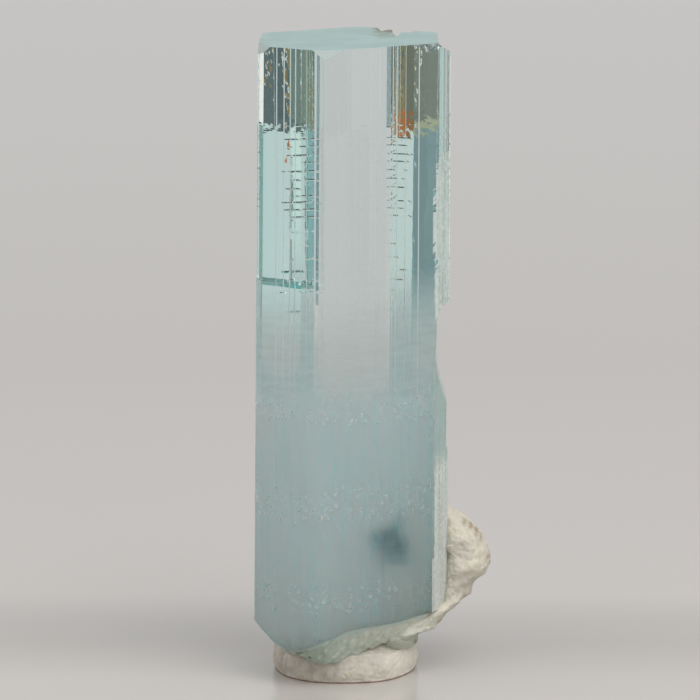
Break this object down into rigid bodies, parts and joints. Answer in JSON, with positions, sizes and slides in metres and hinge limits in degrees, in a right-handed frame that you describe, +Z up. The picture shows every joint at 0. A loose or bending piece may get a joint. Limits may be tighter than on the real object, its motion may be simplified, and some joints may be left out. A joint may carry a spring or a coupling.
{
  "type": "aquamarine crystal specimen",
  "caption": "Tall six-sided pale blue beryl crystal, clear above and milky below, with white feldspar at its foot, standing upright in a round pat of mineral putty.",
  "frame": {"origin": "centre of the putty's flat foot, on the surface that the specimen stands on", "axes": "+Z up along the crystal's long axis, the crystal's foremost edge towards -Y, the matrix towards +X"},
  "size_m": [0.0191, 0.0154, 0.0513],
  "materials": {
    "beryl": "natural crystal faces, finely striated along the length, clear in the upper half and milky blue in the lower half",
    "feldspar": "broken, granular, cream white with brown stains on its edges",
    "putty": "matt off-white mineral tack, pressed by hand, creased and dimpled"
  },
  "bodies": {
    "root": {"crystal": "beryl", "matrix": "feldspar", "putty": "putty"}
  },
  "joints": []
}
